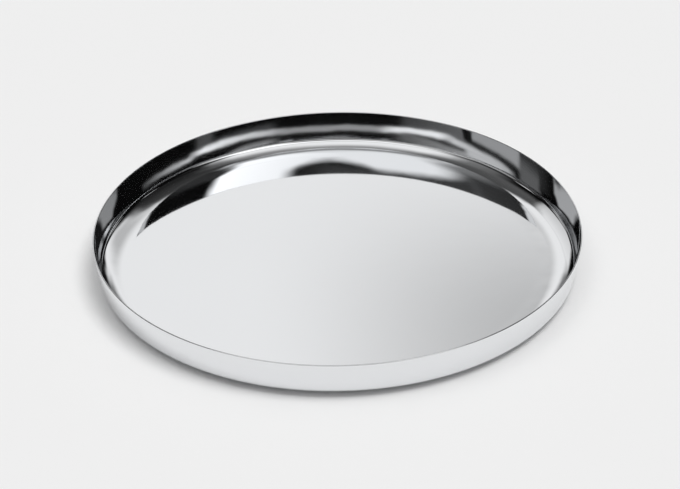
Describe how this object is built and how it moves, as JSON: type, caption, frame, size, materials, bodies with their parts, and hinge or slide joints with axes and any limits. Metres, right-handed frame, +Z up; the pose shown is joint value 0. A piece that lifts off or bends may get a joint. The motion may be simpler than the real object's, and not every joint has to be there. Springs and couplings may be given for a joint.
{
  "type": "thali plate",
  "caption": "Round steel thali plate with a flat floor that curves up into a low, nearly upright wall with a plain thin rim, for serving food.",
  "frame": {"origin": "centre of the flat underside, on the surface that the plate rests on", "axes": "+Z up along the plate's axis of revolution; X and Y lie in the resting face, and any turn about Z is the same plate"},
  "size_m": [0.3, 0.3, 0.0246],
  "materials": {
    "polished_steel": "mirror-polished stainless steel sheet"
  },
  "bodies": {
    "root": {"plate": "polished_steel"}
  },
  "joints": []
}
